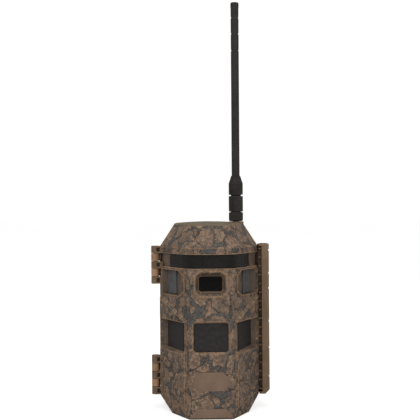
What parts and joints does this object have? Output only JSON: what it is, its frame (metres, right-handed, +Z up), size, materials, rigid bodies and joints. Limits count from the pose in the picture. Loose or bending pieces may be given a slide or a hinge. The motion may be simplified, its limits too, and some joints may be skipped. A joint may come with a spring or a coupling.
{
  "type": "trail camera",
  "caption": "Upright panoramic trail camera with three lens windows, an infrared lamp band, a side-hinged cover, a full-height latch lever and a whip antenna.",
  "frame": {"origin": "mouth of the tripod socket, in the middle of the flat base", "axes": "+Z up along the antenna, -Y out of the front face, +X to the viewer's right"},
  "size_m": [0.104, 0.0908, 0.362],
  "materials": {
    "camouflage": "matt moulded plastic with a printed cracked-bark pattern",
    "brown_plastic": "matt moulded plastic",
    "rubber_seal": "soft black rubber",
    "brass": "turned",
    "steel": "plated",
    "black_plastic": "satin",
    "cell_wrap": "shrink wrap",
    "dark_window": "smoked infrared-passing plastic",
    "sensor_window": "thin moulded lens sheet",
    "glass": "coated",
    "circuit_board": "solder mask",
    "lamp_resin": "tinted resin",
    "grey_plastic": "fine texture",
    "screen_glass": "polished",
    "key_rubber": "soft touch"
  },
  "bodies": {
    "rear_case": {"rear_housing": "brown_plastic", "strap_ribs": "brown_plastic", "case_knuckles": "brown_plastic", "latch_lugs": "brown_plastic", "gasket": "rubber_seal", "tripod_insert": "brass", "upper_hinge_pin": "steel", "lower_hinge_pin": "steel", "latch_pin": "steel", "antenna_connector": "brass", "connector_nut": "brass", "battery_tray": "black_plastic", "battery_cells": "cell_wrap", "battery_springs": "steel", "battery_contacts": "steel", "power_jack": "black_plastic", "jack_plug": "rubber_seal"},
    "cover": {"front_cover": "camouflage", "cover_posts": "camouflage", "cover_knuckles": "brown_plastic", "led_window": "dark_window", "led_board": "circuit_board", "infrared_lamps": "lamp_resin", "centre_lens_pane": "glass", "left_lens_pane": "glass", "right_lens_pane": "glass", "centre_pir_window": "sensor_window", "left_pir_window": "sensor_window", "right_pir_window": "sensor_window", "lens_barrels": "black_plastic", "lens_glasses": "glass", "sensor_boards": "circuit_board", "pir_sensors": "steel", "pir_boards": "circuit_board", "inner_plate": "grey_plastic", "plate_screws": "steel", "screen": "screen_glass", "main_board": "circuit_board", "modem": "grey_plastic", "key_switches": "black_plastic", "power_switch_body": "black_plastic", "card_holder": "steel", "memory_card": "black_plastic", "name_plate": "brown_plastic", "emblem_plate": "brown_plastic"},
    "latch": {"latch_lever": "brown_plastic"},
    "antenna_collar": {"antenna_nut": "black_plastic"},
    "antenna": {"antenna_base": "black_plastic", "antenna_sleeve": "black_plastic", "antenna_mast": "black_plastic", "antenna_tip": "black_plastic"},
    "ok_key": {"ok_button": "key_rubber"},
    "up_key": {"up_button": "key_rubber"},
    "down_key": {"down_button": "key_rubber"},
    "left_key": {"left_button": "key_rubber"},
    "right_key": {"right_button": "key_rubber"},
    "power_slider": {"power_switch": "key_rubber"}
  },
  "joints": [
    {"name": "cover_hinge", "type": "hinge", "parent": "rear_case", "child": "cover", "pos_m": [-0.0476, -0.014, 0], "axis": [0, 0, -1], "range_deg": [0, 115]},
    {"name": "latch_hinge", "type": "hinge", "parent": "rear_case", "child": "latch", "pos_m": [0.0494, -0.004, 0], "axis": [0, 0, 1], "range_deg": [0, 90]},
    {"name": "antenna_collar_turn", "type": "hinge", "parent": "rear_case", "child": "antenna_collar", "pos_m": [0.025, -0.004, 0.17], "axis": [0, 0, 1], "continuous": true},
    {"name": "antenna_turn", "type": "hinge", "parent": "rear_case", "child": "antenna", "pos_m": [0.025, -0.004, 0.17], "axis": [0, 0, 1], "continuous": true},
    {"name": "ok_press", "type": "slide", "parent": "cover", "child": "ok_key", "axis": [0, -1, 0], "range_m": [0, 0.0008], "stiffness_N_per_m": 400, "springref_m": -0.0005},
    {"name": "up_press", "type": "slide", "parent": "cover", "child": "up_key", "axis": [0, -1, 0], "range_m": [0, 0.0008], "stiffness_N_per_m": 400, "springref_m": -0.0005},
    {"name": "down_press", "type": "slide", "parent": "cover", "child": "down_key", "axis": [0, -1, 0], "range_m": [0, 0.0008], "stiffness_N_per_m": 400, "springref_m": -0.0005},
    {"name": "left_press", "type": "slide", "parent": "cover", "child": "left_key", "axis": [0, -1, 0], "range_m": [0, 0.0008], "stiffness_N_per_m": 400, "springref_m": -0.0005},
    {"name": "right_press", "type": "slide", "parent": "cover", "child": "right_key", "axis": [0, -1, 0], "range_m": [0, 0.0008], "stiffness_N_per_m": 400, "springref_m": -0.0005},
    {"name": "power_slide", "type": "slide", "parent": "cover", "child": "power_slider", "axis": [1, 0, 0], "range_m": [-0.003, 0.003]}
  ]
}
